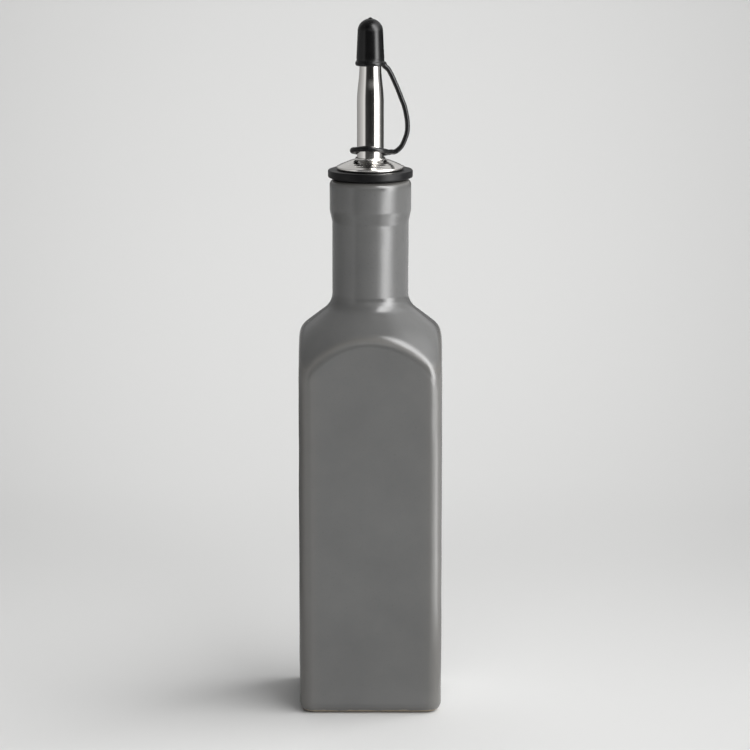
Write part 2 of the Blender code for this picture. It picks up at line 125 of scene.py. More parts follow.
def skin(name, rows, first_pole=None, last_pole=None, marks=None):
    """A closed mesh over rows of points, shaped (rows, columns, 3). Each end is a fan to its pole, or, with
    no poles, the last row joins the first. marks are point values by name, one for each grid point."""
    count, columns = rows.shape[:2]
    points = rows.reshape(-1, 3)
    faces = grid_faces(count, columns, first_pole is None).tolist()
    around = np.arange(columns)
    following = (around + 1) % columns
    extra = 0
    if first_pole is not None:
        points = np.vstack([points, first_pole, last_pole])
        extra = 2
        bottom = np.full(columns, count * columns)
        faces += np.stack([bottom, following, around], -1).tolist()
        top = bottom + 1
        last = (count - 1) * columns
        faces += np.stack([last + around, last + following, top], -1).tolist()
    mesh = bpy.data.meshes.new(name)
    mesh.from_pydata(points.tolist(), [], faces)
    for mark, values in (marks or {}).items():
        attribute = mesh.attributes.new(mark, "FLOAT", "POINT")
        attribute.data.foreach_set("value", np.append(values.ravel(), np.zeros(extra)).astype(np.float32))
    mesh.shade_smooth()
    piece = bpy.data.objects.new(name, mesh)
    bpy.context.scene.collection.objects.link(piece)
    return piece


def dressed(piece, finish, slot, *nodes):
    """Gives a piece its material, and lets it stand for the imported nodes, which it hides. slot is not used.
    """
    piece.data.materials.append(finish)
    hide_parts(*nodes)
    return piece


def eased(share):
    """0 to 1 along a cosine, level at both ends."""
    return (1 - np.cos(math.pi * np.clip(share, 0, 1))) / 2


def rounded_profile(corners, steps=6, support=0.00015):
    """A profile of (radius, height) through corners given as (radius, height, rounding). Each rounded corner
    is an arc that touches both of its sides, with a point just before and just after it that keeps the sides
    flat."""
    places = np.array([corner[:2] for corner in corners])
    line = [places[0]]
    for index in range(1, len(corners) - 1):
        corner, rounding = places[index], corners[index][2]
        back, ahead = places[index - 1] - corner, places[index + 1] - corner
        back_length, ahead_length = np.linalg.norm(back), np.linalg.norm(ahead)
        back, ahead = back / back_length, ahead / ahead_length
        half = math.acos(np.clip(back @ ahead, -1, 1)) / 2
        if not rounding or abs(half - QUARTER_TURN) < 0.01:
            line.append(corner)
            continue
        reach = min(rounding / math.tan(half), back_length * 0.48, ahead_length * 0.48)
        radius = reach * math.tan(half)
        middle = (back + ahead) / np.linalg.norm(back + ahead)
        centre = corner + middle * radius / math.sin(half)
        start, end = corner + back * reach - centre, corner + ahead * reach - centre
        turn = math.pi - 2 * half
        share = np.linspace(0, 1, steps + 1)[:, None]
        round_part = (np.sin((1 - share) * turn) * start + np.sin(share * turn) * end) / math.sin(turn)
        beside = min(support, reach * 0.5)
        line.append(corner + back * (reach + beside * 0.9))
        line.extend(centre + round_part)
        line.append(corner + ahead * (reach + beside * 0.9))
    line.append(places[-1])
    return np.array(line)


def turn(profile, columns):
    """Rows of a turned surface: each profile point (r, z) is carried round the axis as (r cos a, r sin a,
    z)."""
    angles = np.linspace(0, FULL_TURN, columns, endpoint=False)[None, :]
    radius, height = profile[:, :1], profile[:, 1:]
    return np.stack(np.broadcast_arrays(radius * np.cos(angles), radius * np.sin(angles), height), -1)


# Glazed bottle


def square_radius(angles, half, corner):
    """Distance from the axis to a square with rounded corners, along each angle: half / cos on the flat
    sides, and the far crossing with the corner's circle elsewhere."""
    folded = np.abs((angles + math.pi / 4) % QUARTER_TURN - math.pi / 4)
    centre = half - corner
    along = centre * (np.cos(folded) + np.sin(folded))
    on_corner = along + np.sqrt(np.maximum(along**2 - 2 * centre**2 + corner**2, 0))
    return np.where(half * np.tan(folded) <= centre, half / np.cos(folded), on_corner)


def soft_lesser(a, b, width):
    """The lesser of two lengths, rounded off where they differ by less than width."""
    near = np.maximum(width - np.abs(a - b), 0) / width
    return np.minimum(a, b) - near**2 * width / 4


def shoulder_turn(inset):
    """The shoulder's two arcs, set in from the outer surface: for each its centre's radius and height, and
    its own radius. The cone between them touches both."""
    arc_centre = SHOULDER_RADIUS - SHOULDER_ARC_RADIUS
    fillet_centre = NECK_RADIUS + NECK_FILLET_RADIUS
    reach = SHOULDER_ARC_RADIUS + NECK_FILLET_RADIUS
    reach += math.sin(SHOULDER_FALL) * (arc_centre - fillet_centre)
    fillet_height = SHOULDER_ARC_HEIGHT + reach / math.cos(SHOULDER_FALL)
    arc = (arc_centre, SHOULDER_ARC_HEIGHT, SHOULDER_ARC_RADIUS - inset)
    return arc, (fillet_centre, fillet_height, NECK_FILLET_RADIUS + inset)


def shoulder_radius(height, inset):
    """Radius of the turned neck and shoulder at each height: neck, hollow fillet, cone, arc, and below the
    arc a parabola that leaves the square body alone."""
    arc, fillet = shoulder_turn(inset)
    across, up = math.sin(SHOULDER_FALL), math.cos(SHOULDER_FALL)
    cone_top = fillet[1] - fillet[2] * up
    cone_bottom = arc[1] + arc[2] * up
    hollow = fillet[0] - np.sqrt(np.maximum(fillet[2] ** 2 - (fillet[1] - height) ** 2, 0))
    cone = fillet[0] - fillet[2] * across + (cone_top - height) / math.tan(SHOULDER_FALL)
    round_part = arc[0] + np.sqrt(np.maximum(arc[2] ** 2 - (height - arc[1]) ** 2, 0))
    tail = arc[0] + arc[2] + (arc[1] - height) ** 2 / (2 * SHOULDER_ARC_RADIUS)
    above = [height >= fillet[1], height >= cone_top, height >= cone_bottom, height >= arc[1]]
    neck = np.full_like(height, fillet[0] - fillet[2])
    return np.select(above, [neck, hollow, cone, round_part], tail)


def column_angles(columns):
    """Directions of the bottle's columns: spread along the square's outline, closer together round its
    corners."""
    fine = np.linspace(0, FULL_TURN, 7201)
    radius = square_radius(fine, HALF_WIDTH, BODY_CORNER_RADIUS)
    length = np.hypot(np.diff(radius * np.cos(fine)), np.diff(radius * np.sin(fine)))
    middle = (fine[1:] + fine[:-1]) / 2
    folded = np.abs((middle + math.pi / 4) % QUARTER_TURN - math.pi / 4)
    in_corner = HALF_WIDTH * np.tan(folded) > HALF_WIDTH - BODY_CORNER_RADIUS
    weight = np.append(0, np.cumsum(length * np.where(in_corner, 3.0, 1.0)))
    return np.interp(np.linspace(0, weight[-1], columns, endpoint=False), weight, fine)


def lip_profile():
    """The mouth's section from the neck out to the band, over the lip and into the bore."""
    band_bottom = LIP_TOP - LIP_BAND_HEIGHT
    share = np.linspace(0, 1, 19)
    step = np.stack([NECK_RADIUS + (LIP_RADIUS - NECK_RADIUS) * eased(share),
                     band_bottom - LIP_STEP_HEIGHT * (1 - share)], -1)
    band_heights = np.linspace(band_bottom, LIP_TOP - LIP_OUTER_EDGE, 9)[1:-1]
    band = np.stack([np.full_like(band_heights, LIP_RADIUS), band_heights], -1)
    around = np.linspace(0, QUARTER_TURN, 13)
    outer = np.stack([LIP_RADIUS - LIP_OUTER_EDGE * (1 - np.cos(around)),
                      LIP_TOP - LIP_OUTER_EDGE * (1 - np.sin(around))], -1)
    around = np.linspace(0, QUARTER_TURN, 7)
    inner = np.stack([BORE_RADIUS + LIP_INNER_EDGE * (1 - np.sin(around)),
                      LIP_TOP - LIP_INNER_EDGE * (1 - np.cos(around))], -1)
    return np.vstack([step, band, outer, inner])


def wander(angles, heights):
    """Slow waves in the wall, as sums of sines of the height and of whole turns round the axis."""
    along = FULL_TURN * heights / WANDER_PITCH
    waves = np.sin(3 * angles + 0.7 * along) + 0.8 * np.sin(2 * angles - 1.1 * along + 1.3)
    waves += 0.6 * np.sin(5 * angles + 1.9 * along + 0.4) + 0.5 * np.sin(1.4 * along + 2.1)
    return WANDER_DEPTH * waves


def body_rows(angles, heights):
    """The outer surface from the foot to the neck: at each height the soft lesser of a rounded square and the
    turned shoulder. The square shrinks and its corners tighten in the foot's fillet."""
    turned = np.arcsin(np.clip(1 - heights / FOOT_FILLET_HEIGHT, 0, 1))
    share = 1 - np.cos(turned)
    corner = BODY_CORNER_RADIUS + (FOOT_CORNER_RADIUS - BODY_CORNER_RADIUS) * share
    square = square_radius(angles, HALF_WIDTH - FOOT_FILLET_INSET * share, corner)
    shoulder = shoulder_radius(heights, 0)
    radius = soft_lesser(square, shoulder, ARCH_SOFTENING)
    folded = np.abs((angles + math.pi / 4) % QUARTER_TURN - math.pi / 4)
    sharp = np.exp(-(((folded - math.pi / 4) / CORNER_BREAK_WIDTH) ** 2)) * (shoulder > square)
    ridge = np.clip(1 - np.abs(square - shoulder) / ARCH_SOFTENING, 0, 1) ** 2
    return radius, np.maximum(sharp * CORNER_BREAK_SHARE, ridge)


def inner_rows(angles):
    """The bore and the cavity, from the lip down to the floor: the outer formula set in by the wall, then the
    floor's fillet and rings that close in on the axis."""
    low = SHOULDER_ARC_HEIGHT - SHOULDER_TAIL
    fillet_height = shoulder_turn(BODY_WALL)[1][1]
    heights = np.concatenate([
        np.linspace(LIP_TOP - LIP_INNER_EDGE, fillet_height, 14)[1:],
        np.linspace(fillet_height, low, 24)[1:],
        np.linspace(low, FLOOR_THICKNESS + INNER_FLOOR_FILLET, 9)[1:],
    ])[:, None]
    square = square_radius(angles, HALF_WIDTH - BODY_WALL, INNER_CORNER_RADIUS)
    wall = soft_lesser(square, shoulder_radius(heights, BODY_WALL), ARCH_SOFTENING)
    turned = np.linspace(0, QUARTER_TURN, 7)[1:, None]
    inset = BODY_WALL + INNER_FLOOR_FILLET * (1 - np.cos(turned))
    floor = square_radius(angles, HALF_WIDTH - inset, INNER_CORNER_RADIUS)
    floor_heights = FLOOR_THICKNESS + INNER_FLOOR_FILLET * (1 - np.sin(turned))
    shares = np.array([0.75, 0.45, 0.2])[:, None]
    middle = floor[-1:] * shares
    radius = np.vstack([wall, floor, middle])
    return radius, np.vstack([heights, floor_heights, np.full_like(shares, FLOOR_THICKNESS)])


def make_bottle(finish):
    """The bottle as one grid: up the outside from the foot's recess, over the lip and down into the
    cavity."""
    angles = column_angles(288)[None, :]
    band_end = FOOT_FILLET_INSET + FOOT_BAND_WIDTH
    recess = square_radius(angles, HALF_WIDTH - band_end - FOOT_RECESS_SLOPE, FOOT_CORNER_RADIUS)
    band = square_radius(angles, HALF_WIDTH - band_end, FOOT_CORNER_RADIUS)
    foot = np.vstack([recess * 0.3, recess * 0.7, recess, recess + (band - recess) * 0.2, band])
    foot_heights = np.array([FOOT_RECESS_DEPTH] * 3 + [FOOT_RECESS_DEPTH * 0.8, 0])[:, None]

    low = SHOULDER_ARC_HEIGHT - SHOULDER_TAIL
    fillet_height = shoulder_turn(0)[1][1]
    around = np.linspace(0, QUARTER_TURN, 14)
    heights = np.concatenate([
        FOOT_FILLET_HEIGHT * (1 - np.cos(around)),
        FOOT_FILLET_HEIGHT + np.array([0.0004, 0.0012]),
        np.linspace(FOOT_FILLET_HEIGHT + 0.0040, low, 36),
        np.linspace(low, fillet_height, 120)[1:],
        np.linspace(fillet_height, LIP_TOP - LIP_BAND_HEIGHT - LIP_STEP_HEIGHT, 16)[1:-1],
    ])[:, None]
    body, edge = body_rows(angles, heights)
    body = body + wander(angles, heights) * np.clip(heights / FOOT_FILLET_HEIGHT, 0, 1)

    lip = lip_profile()
    lip_heights = lip[:, 1:]
    fade = np.clip((LIP_TOP - lip_heights) / LIP_BAND_HEIGHT, 0, 1)
    lip_radius = lip[:, :1] + wander(angles, lip_heights) * fade
    below_top = (lip_heights - LIP_TOP + LIP_BREAK_DROP) / LIP_BREAK_WIDTH
    lip_edge = np.exp(-(below_top**2)) * np.ones_like(angles)
    inside, inside_heights = inner_rows(angles)

    radius = np.vstack([foot, body, lip_radius, inside])
    height = np.vstack([foot_heights, heights, lip_heights, inside_heights])
    marks = np.vstack([np.zeros_like(foot), edge, lip_edge, np.zeros_like(inside)])
    rows = np.stack(np.broadcast_arrays(radius * np.cos(angles), radius * np.sin(angles), height), -1)
    poles = (0, 0, FOOT_RECESS_DEPTH), (0, 0, FLOOR_THICKNESS)
    piece = skin("glazed_bottle", rows, *poles, {"glaze_break": marks})
    dressed(piece, finish, "grey_glaze", "bottle")
    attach(piece, "bottle")


# Rubber stopper

DISC_RADIUS = STOPPER_HIGH.x
DISC_EDGE = 0.0006
DISC_THICKNESS = 0.0033
DISC_STEP_RADIUS = 0.0163
DISC_STEP_HEIGHT = 0.0005
DISC_BOTTOM = STOPPER_HIGH.z - DISC_THICKNESS
DISC_STEP_BOTTOM = DISC_BOTTOM - DISC_STEP_HEIGHT
PLUG_CORE_RADIUS = 0.0090
PLUG_END_CHAMFER = 0.0010
PLUG_EDGE = 0.0003
RIB_COUNT = 4
RIB_REACH = 0.0113
RIB_TAPER = 0.0006
RIB_THICKNESS = 0.0011
RIB_ROOT_THICKNESS = 0.0022
RIB_RISE = 0.0003
RIB_EDGE = 0.0004
TUBE_HOLE_RADIUS = 0.0061


def rib_corners(index, pitch):
    """One rib of the plug from its root below to its root above, leaning up a little at its rim."""
    middle = DISC_STEP_BOTTOM - pitch * (index + 0.5)
    reach = RIB_REACH - RIB_TAPER * index / (RIB_COUNT - 1)
    return [
        (PLUG_CORE_RADIUS, middle - RIB_ROOT_THICKNESS / 2, PLUG_EDGE),
        (reach, middle - RIB_THICKNESS / 2 + RIB_RISE, RIB_EDGE),
        (reach, middle + RIB_THICKNESS / 2 + RIB_RISE, RIB_EDGE),
        (PLUG_CORE_RADIUS, middle + RIB_ROOT_THICKNESS / 2, PLUG_EDGE),
    ]


def make_stopper(finish):
    """The stopper's section: up the ribbed plug, under the disc's step, round the disc and down the tube's
    hole."""
    pitch = (DISC_STEP_BOTTOM - STOPPER_LOW.z - PLUG_END_CHAMFER) / RIB_COUNT
    corners = [
        (TUBE_HOLE_RADIUS, STOPPER_LOW.z + PLUG_EDGE, 0),
        (TUBE_HOLE_RADIUS + PLUG_EDGE, STOPPER_LOW.z, 0),
        (PLUG_CORE_RADIUS - PLUG_END_CHAMFER, STOPPER_LOW.z, PLUG_EDGE),
        (PLUG_CORE_RADIUS, STOPPER_LOW.z + PLUG_END_CHAMFER, PLUG_EDGE),
    ]
    for index in reversed(range(RIB_COUNT)):
        corners += rib_corners(index, pitch)
    corners += [
        (PLUG_CORE_RADIUS, DISC_STEP_BOTTOM, 0),
        (DISC_STEP_RADIUS, DISC_STEP_BOTTOM, PLUG_EDGE),
        (DISC_STEP_RADIUS, DISC_BOTTOM, 0.0002),
        (DISC_RADIUS, DISC_BOTTOM, DISC_EDGE),
        (DISC_RADIUS, STOPPER_HIGH.z, DISC_EDGE),
        (TUBE_HOLE_RADIUS, STOPPER_HIGH.z, 0.0002),
        (TUBE_HOLE_RADIUS, STOPPER_LOW.z + PLUG_EDGE, 0),
    ]
    profile = rounded_profile(corners)[:-1]
    piece = skin("rubber_stopper", turn(profile, 144))
    dressed(piece, finish, "black_rubber", "stopper")
    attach(piece, "stopper")


# Steel plate

PLATE_RADIUS = PLATE_HIGH.x
PLATE_THICKNESS = 0.0007
PLATE_RIM_HEIGHT = 0.0011
PLATE_EDGE = 0.0003
COLLAR_HEIGHT = 0.0008
COLLAR_WALL = 0.0004
DOME_TOP = PLATE_HIGH.z - COLLAR_HEIGHT
DOME_RISE = DOME_TOP - PLATE_LOW.z - PLATE_RIM_HEIGHT
DOME_POWER = 1.3
RIPPLE_HEIGHT = 0.000016
RIPPLE_SPACING = 0.0013


def dome_height(radius):
    """Height of the plate's dome: it falls by its rise times share to the power 1.3, with fine spun ripples
    round the axis."""
    start = TUBE_HOLE_RADIUS + COLLAR_WALL
    share = np.clip((radius - start) / (PLATE_RADIUS - start), 0, 1)
    ripples = RIPPLE_HEIGHT * np.cos(FULL_TURN * (radius - start) / RIPPLE_SPACING) * eased(share / 0.2)
    return DOME_TOP - DOME_RISE * share**DOME_POWER + ripples * eased((1 - share) / 0.15)


def make_plate(finish):
    """The plate's section: out under the dome, round the rolled rim, up the dome and over the collar."""
    start = TUBE_HOLE_RADIUS + COLLAR_WALL
    rim_inner = PLATE_RADIUS - PLATE_THICKNESS
    below = np.linspace(TUBE_HOLE_RADIUS, rim_inner, 24)
    under = np.stack([below, np.minimum(dome_height(below), DOME_TOP) - PLATE_THICKNESS], -1)
    slope = math.atan(DOME_RISE * DOME_POWER / (PLATE_RADIUS - start))
    around = np.linspace(0, QUARTER_TURN - slope, 6)
    curl = PLATE_THICKNESS / 2
    below_turn = np.linspace(-math.pi, 0, 9)
    foot = np.stack([PLATE_RADIUS - curl + curl * np.cos(below_turn),
                     PLATE_LOW.z + curl + curl * np.sin(below_turn)], -1)
    rim_end = PLATE_RADIUS - PLATE_EDGE * (1 - math.sin(slope))
    rim_middle = float(dome_height(np.array(rim_end))) - PLATE_EDGE * math.cos(slope)
    rim = np.stack([PLATE_RADIUS - PLATE_EDGE + PLATE_EDGE * np.cos(around),
                    rim_middle + PLATE_EDGE * np.sin(around)], -1)
    radii = rim_end - (rim_end - start) * np.linspace(0, 1, 60)[1:]
    dome = np.stack([radii, dome_height(radii)], -1)
    collar_turn = np.linspace(0, math.pi, 9)
    collar_edge = COLLAR_WALL / 2
    collar = np.stack([TUBE_HOLE_RADIUS + collar_edge + collar_edge * np.cos(collar_turn),
                       PLATE_HIGH.z - collar_edge + collar_edge * np.sin(collar_turn)], -1)
    profile = np.vstack([under, foot, rim, dome, collar])
    piece = skin("steel_plate", turn(profile, 160))
    dressed(piece, finish, "polished_steel", "flange_plate")
    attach(piece, "spout")


# Steel spout tube and the air tube inside it

TUBE_RADIUS = 0.0058
TUBE_WALL = 0.0006
TUBE_NECK_RADIUS = 0.0047
TUBE_TIP_RADIUS = 0.0044
TAPER_TOP = CAP_LOW.z
TAPER_LENGTH = 0.0160
TIP_CUT_ANGLE = math.radians(24)
FLARE_HEIGHT = 0.0014
FLARE_WIDTH = 0.0011
TIP_SHEAR_START = 0.0070
AIR_TUBE_WALL = 0.0005
AIR_TUBE_SEAM = 0.0010


def tube_radius(height):
    """Outer radius of the spout tube: flared at its foot, straight, eased in through the taper, and slightly
    narrower again towards its tip."""
    flare = FLARE_WIDTH * np.clip(1 - (height - TUBE_LOW.z) / FLARE_HEIGHT, 0, 1) ** 1.5
    taper = (TUBE_RADIUS - TUBE_NECK_RADIUS) * eased((height - TAPER_TOP + TAPER_LENGTH) / TAPER_LENGTH)
    tip_share = np.clip((height - TAPER_TOP) / (TUBE_HIGH.z - TAPER_TOP), 0, 1)
    return TUBE_RADIUS + flare - taper - (TUBE_NECK_RADIUS - TUBE_TIP_RADIUS) * tip_share


def make_spout_tube(finish):
    """The tube's wall as a ring of rows, up outside and down inside. Near the tip each row is sheared, so
    that the last one lies in the slanted cut."""
    tip_turn = np.linspace(0, math.pi, 7)
    half_wall = TUBE_WALL / 2
    top = TUBE_HIGH.z - half_wall
    heights = np.concatenate([
        TUBE_LOW.z + np.linspace(0, FLARE_HEIGHT, 7),
        np.linspace(TUBE_LOW.z + FLARE_HEIGHT, TAPER_TOP - TAPER_LENGTH, 20)[1:],
        np.linspace(TAPER_TOP - TAPER_LENGTH, TAPER_TOP, 24)[1:],
        np.linspace(TAPER_TOP, top, 14)[1:-1],
    ])
    outer = np.stack([tube_radius(heights), heights], -1)
    lip_middle = TUBE_TIP_RADIUS - half_wall
    lip = np.stack([lip_middle + half_wall * np.cos(tip_turn), top + half_wall * np.sin(tip_turn)], -1)
    inner = np.stack([tube_radius(heights[::-1]) - TUBE_WALL, heights[::-1]], -1)
    rows = turn(np.vstack([outer, lip, inner]), 96)
    lean = np.tan(TIP_CUT_ANGLE) * (rows[..., 1] - TUBE_TIP_RADIUS)
    sheared = np.clip((rows[..., 2] - TUBE_HIGH.z + TIP_SHEAR_START) / TIP_SHEAR_START, 0, 1)
    rows = rows.copy()
    rows[..., 2] += lean * sheared
    piece = skin("steel_spout_tube", rows)
    dressed(piece, finish, "polished_steel", "spout_tube")
    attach(piece, "spout")


def make_air_tube(finish):
    """A thin open tube, set to the back of the spout tube's bore."""
    outer = (AIR_HIGH.x - AIR_LOW.x) / 2
    inner = outer - AIR_TUBE_WALL
    corners = [
        (inner, AIR_LOW.z + AIR_TUBE_SEAM, 0),
        (inner, AIR_LOW.z, 0.0001),
        (outer, AIR_LOW.z, 0.00015),
        (outer, AIR_HIGH.z, 0.00015),
        (inner, AIR_HIGH.z, 0.0001),
        (inner, AIR_LOW.z + AIR_TUBE_SEAM, 0),
    ]
    rows = turn(rounded_profile(corners, 3)[:-1], 32)
    rows = rows + np.array([0, (AIR_LOW.y + AIR_HIGH.y) / 2, 0])
    piece = skin("steel_air_tube", rows)
    dressed(piece, finish, "polished_steel", "air_tube")
    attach(piece, "spout")


# Rubber cap

CAP_BEAD_RADIUS = CAP_HIGH.x
CAP_BEAD_HEIGHT = 0.0018
CAP_FOOT_RADIUS = 0.0061
CAP_TOP_RADIUS = 0.0055
CAP_SIDE_HEIGHT = 0.0147
CAP_NIPPLE_RADIUS = 0.0010
CAP_ROOF_THICKNESS = 0.0018
CAP_GROOVE_DEPTH = 0.00012
CAP_GROOVE_ABOVE_BEAD = 0.0007
CAP_GROOVE_WIDTH = 0.0003
CAP_MOUTH_CHAMFER = 0.0002
FIT_GAP = 0.0003


def make_cap(finish):
    """The cap's section: from the roof of its hollow down and out over the rim, round the bead, up the
    tapered side and over the dome to the small nipple."""
    side_top = CAP_LOW.z + CAP_SIDE_HEIGHT
    roof = side_top + CAP_TOP_RADIUS - CAP_ROOF_THICKNESS
    tip = TUBE_TIP_RADIUS + FIT_GAP
    share = np.linspace(0, 1, 13)[1:]
    hollow_top = np.stack([tip * np.sin(share * QUARTER_TURN),
                           TUBE_HIGH.z + (roof - TUBE_HIGH.z) * np.cos(share * QUARTER_TURN)], -1)
    mouth = TUBE_NECK_RADIUS + FIT_GAP
    mouth_height = CAP_LOW.z + CAP_MOUTH_CHAMFER
    inside = np.stack([np.linspace(tip, mouth, 8), np.linspace(TUBE_HIGH.z, mouth_height, 8)], -1)[1:]
    rim = np.stack([np.linspace(mouth + CAP_MOUTH_CHAMFER, CAP_FOOT_RADIUS, 5), np.full(5, CAP_LOW.z)], -1)
    around = np.linspace(-QUARTER_TURN, QUARTER_TURN, 17)
    depth = CAP_BEAD_RADIUS - CAP_FOOT_RADIUS
    bead = np.stack([CAP_FOOT_RADIUS + depth * np.cos(around) ** 0.8,
                     CAP_LOW.z + CAP_BEAD_HEIGHT / 2 * (1 + np.sin(around))], -1)[1:-1]
    heights = np.linspace(CAP_LOW.z + CAP_BEAD_HEIGHT, side_top, 40)
    side_share = (heights - CAP_LOW.z - CAP_BEAD_HEIGHT) / (CAP_SIDE_HEIGHT - CAP_BEAD_HEIGHT)
    groove_centre = CAP_LOW.z + CAP_BEAD_HEIGHT + CAP_GROOVE_ABOVE_BEAD
    groove = CAP_GROOVE_DEPTH * np.exp(-(((heights - groove_centre) / CAP_GROOVE_WIDTH) ** 2))
    side_radius = CAP_FOOT_RADIUS + (CAP_TOP_RADIUS - CAP_FOOT_RADIUS) * side_share - groove
    side = np.stack([side_radius, heights], -1)
    nipple_turn = math.acos(CAP_NIPPLE_RADIUS * 1.6 / CAP_TOP_RADIUS)
    around = np.linspace(0, nipple_turn, 22)[1:]
    dome = np.stack([CAP_TOP_RADIUS * np.cos(around), side_top + CAP_TOP_RADIUS * np.sin(around)], -1)
    dome_end, dome_end_height = dome[-1]
    share = np.linspace(0, 1, 10)[1:-1]
    nipple_heights = dome_end_height + (CAP_HIGH.z - dome_end_height) * eased(share)
    nipple = np.stack([dome_end * (1 - share), nipple_heights], -1)
    profile = np.vstack([hollow_top, inside, rim, bead, side, dome, nipple])
    piece = skin("rubber_cap", turn(profile, 128), (0, 0, roof), (0, 0, CAP_HIGH.z))
    dressed(piece, finish, "black_rubber", "cap")
    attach(piece, "cap")


# Rubber ring and strap

CORD_RADIUS = 0.00107
RING_RADIUS = 0.00755
RING_CENTRE = (RING_LOW.z + RING_HIGH.z) / 2 - 0.0003
RING_TILT = math.radians(14)
RING_ROLL = math.radians(3.0)
RING_END_SWELL = 0.28
RING_END_WIDTH = 0.45
STRAP_BOW = 0.0077
STRAP_ROOT_SWELL = 0.35
STRAP_ROOT_LENGTH = 0.0015
STRAP_START = Vector((0.0073, 0, CAP_LOW.z + FIT_GAP))
STRAP_END = Vector((0.0088, 0, RING_CENTRE))

# Strap's middle line: each pair is a share of the way down and a share of the bow
STRAP_SHARES = (
    (0, 0), (0.055, 0.05), (0.15, 0.28), (0.29, 0.55), (0.39, 0.72), (0.48, 0.87), (0.58, 0.96), (0.67, 1),
    (0.77, 0.97), (0.86, 0.82), (0.932, 0.64), (0.98, 0.42), (1.005, 0.21), (1.005, 0.04),
)


def smooth_line(points, steps):
    """Points on a Catmull-Rom curve through the given ones, steps to each of its stretches."""
    ends = np.vstack([2 * points[0] - points[1], points, 2 * points[-1] - points[-2]])
    a, b, c, d = (ends[first:len(ends) - 3 + first, None, :] for first in range(4))
    t = (np.arange(steps) / steps)[None, :, None]
    line = (2 * b + (c - a) * t + (2 * a - 5 * b + 4 * c - d) * t**2 + (3 * b - a - 3 * c + d) * t**3) / 2
    return np.vstack([line.reshape(-1, 3), points[-1:]])


def tube_rows(line, radii, sideways, columns):
    """Rows of a tube along a line: each is a circle of its own radius across the line's direction, spanned by
    a fixed sideways direction and the one at right angles to it."""
    along = np.gradient(line, axis=0)
    along /= np.linalg.norm(along, axis=1, keepdims=True)
    outward = np.cross(sideways, along)
    outward /= np.linalg.norm(outward, axis=1, keepdims=True)
    angles = np.linspace(0, FULL_TURN, columns, endpoint=False)[None, :, None]
    across = np.cross(along, outward)[:, None, :]
    circle = outward[:, None, :] * np.cos(angles) + across * np.sin(angles)
    return line[:, None, :] + circle * radii[:, None, None]


def make_strap(finish):
    """The strap along its curve from inside the cap's bead to inside the ring, thicker at both roots."""
    shares = np.array(STRAP_SHARES)
    start, end = np.array(STRAP_START), np.array(STRAP_END)
    points = start + (end - start) * [1, 1, 0] * shares[:, :1] + [0, 0, 1] * (end - start) * shares[:, :1]
    points[:, 0] += STRAP_BOW * shares[:, 1]
    root = np.array([
        [CAP_FOOT_RADIUS - 0.0006, 0, CAP_LOW.z + 0.0009],
        [CAP_BEAD_RADIUS - 0.0002, 0, CAP_LOW.z - 0.0004],
    ])
    tail = np.array([RING_RADIUS + 0.0002, 0, RING_CENTRE - 0.0004])
    line = smooth_line(np.vstack([root, points[1:], tail]), 9)
    length = np.append(0, np.cumsum(np.linalg.norm(np.diff(line, axis=0), axis=1)))
    swell = np.exp(-length / STRAP_ROOT_LENGTH) + 0.5 * np.exp(-(length[-1] - length) / STRAP_ROOT_LENGTH)
    radii = CORD_RADIUS * (1 + STRAP_ROOT_SWELL * swell)
    rows = tube_rows(line, radii, np.array([0, 1, 0]), 24)
    piece = skin("rubber_strap", rows, tuple(line[0]), tuple(line[-1]))
    dressed(piece, finish, "black_rubber", "tether_strap")
    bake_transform(piece)


def turned_pair(first, second, angle):
    """Two coordinates of the same points after a turn in their plane, from the second towards the first."""
    across, up = math.sin(angle), math.cos(angle)
    return first * up + second * across, second * up - first * across


def make_ring(finish):
    """A torus, (R + r cos b) round the axis and r sin b along it, thicker opposite the strap, tilted with its
    front raised and rolled a little towards the strap."""
    around = np.linspace(0, FULL_TURN, 128, endpoint=False)[None, :]
    section = np.linspace(0, FULL_TURN, 24, endpoint=False)[:, None]
    cord = CORD_RADIUS * (1 + RING_END_SWELL * np.exp(-(((around - math.pi) / RING_END_WIDTH) ** 2)))
    radius = RING_RADIUS + cord * np.cos(section)
    x, y, z = radius * np.cos(around), radius * np.sin(around), cord * np.sin(section)
    y, z = turned_pair(y, z, RING_TILT)
    x, z = turned_pair(x, z, RING_ROLL)
    rows = np.stack([x, y, z + RING_CENTRE], -1)
    piece = skin("rubber_ring", rows)
    dressed(piece, finish, "black_rubber", "tether_ring")
    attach(piece, "ring")


# Materials

GLAZE_COLOURS = (0.110, 0.110, 0.109, 1), (0.126, 0.126, 0.124, 1)
GLAZE_SPECK = (0.085, 0.086, 0.083, 1)
GLAZE_EDGE = (0.165, 0.158, 0.146, 1)
CLAY_COLOURS = (0.24, 0.20, 0.15, 1), (0.34, 0.29, 0.22, 1)
CLAY_HEIGHTS = 0.0010, 0.0014
# Painted contact shadow along the foot's edge, and the heights that it spans
FOOT_PAINTED_SHADOW = (0.03, 0.025, 0.022, 1)
FOOT_PAINTED_SHADOW_HEIGHTS = 0.0003, 0.0006
RUBBER_COLOURS = (0.0032, 0.0032, 0.0034, 1), (0.0065, 0.0065, 0.0068, 1)
STEEL_COLOURS = (0.80, 0.78, 0.75, 1), (0.69, 0.67, 0.645, 1)
BLACK = (0, 0, 0, 1)


def add(tree, kind, **settings):
    """A shader node with the named settings."""
    made = tree.nodes.new(kind)
    for name, value in settings.items():
        setattr(made, name, value)
    return made


def give(made, **values):
    """Sets a node's inputs by name, or links them where a value is another node's output."""
    for name, value in values.items():
        socket = made.inputs[name.replace("_", " ")]
        if isinstance(value, bpy.types.NodeSocket):
            made.id_data.links.new(value, socket)
        else:
            socket.default_value = value
    return made


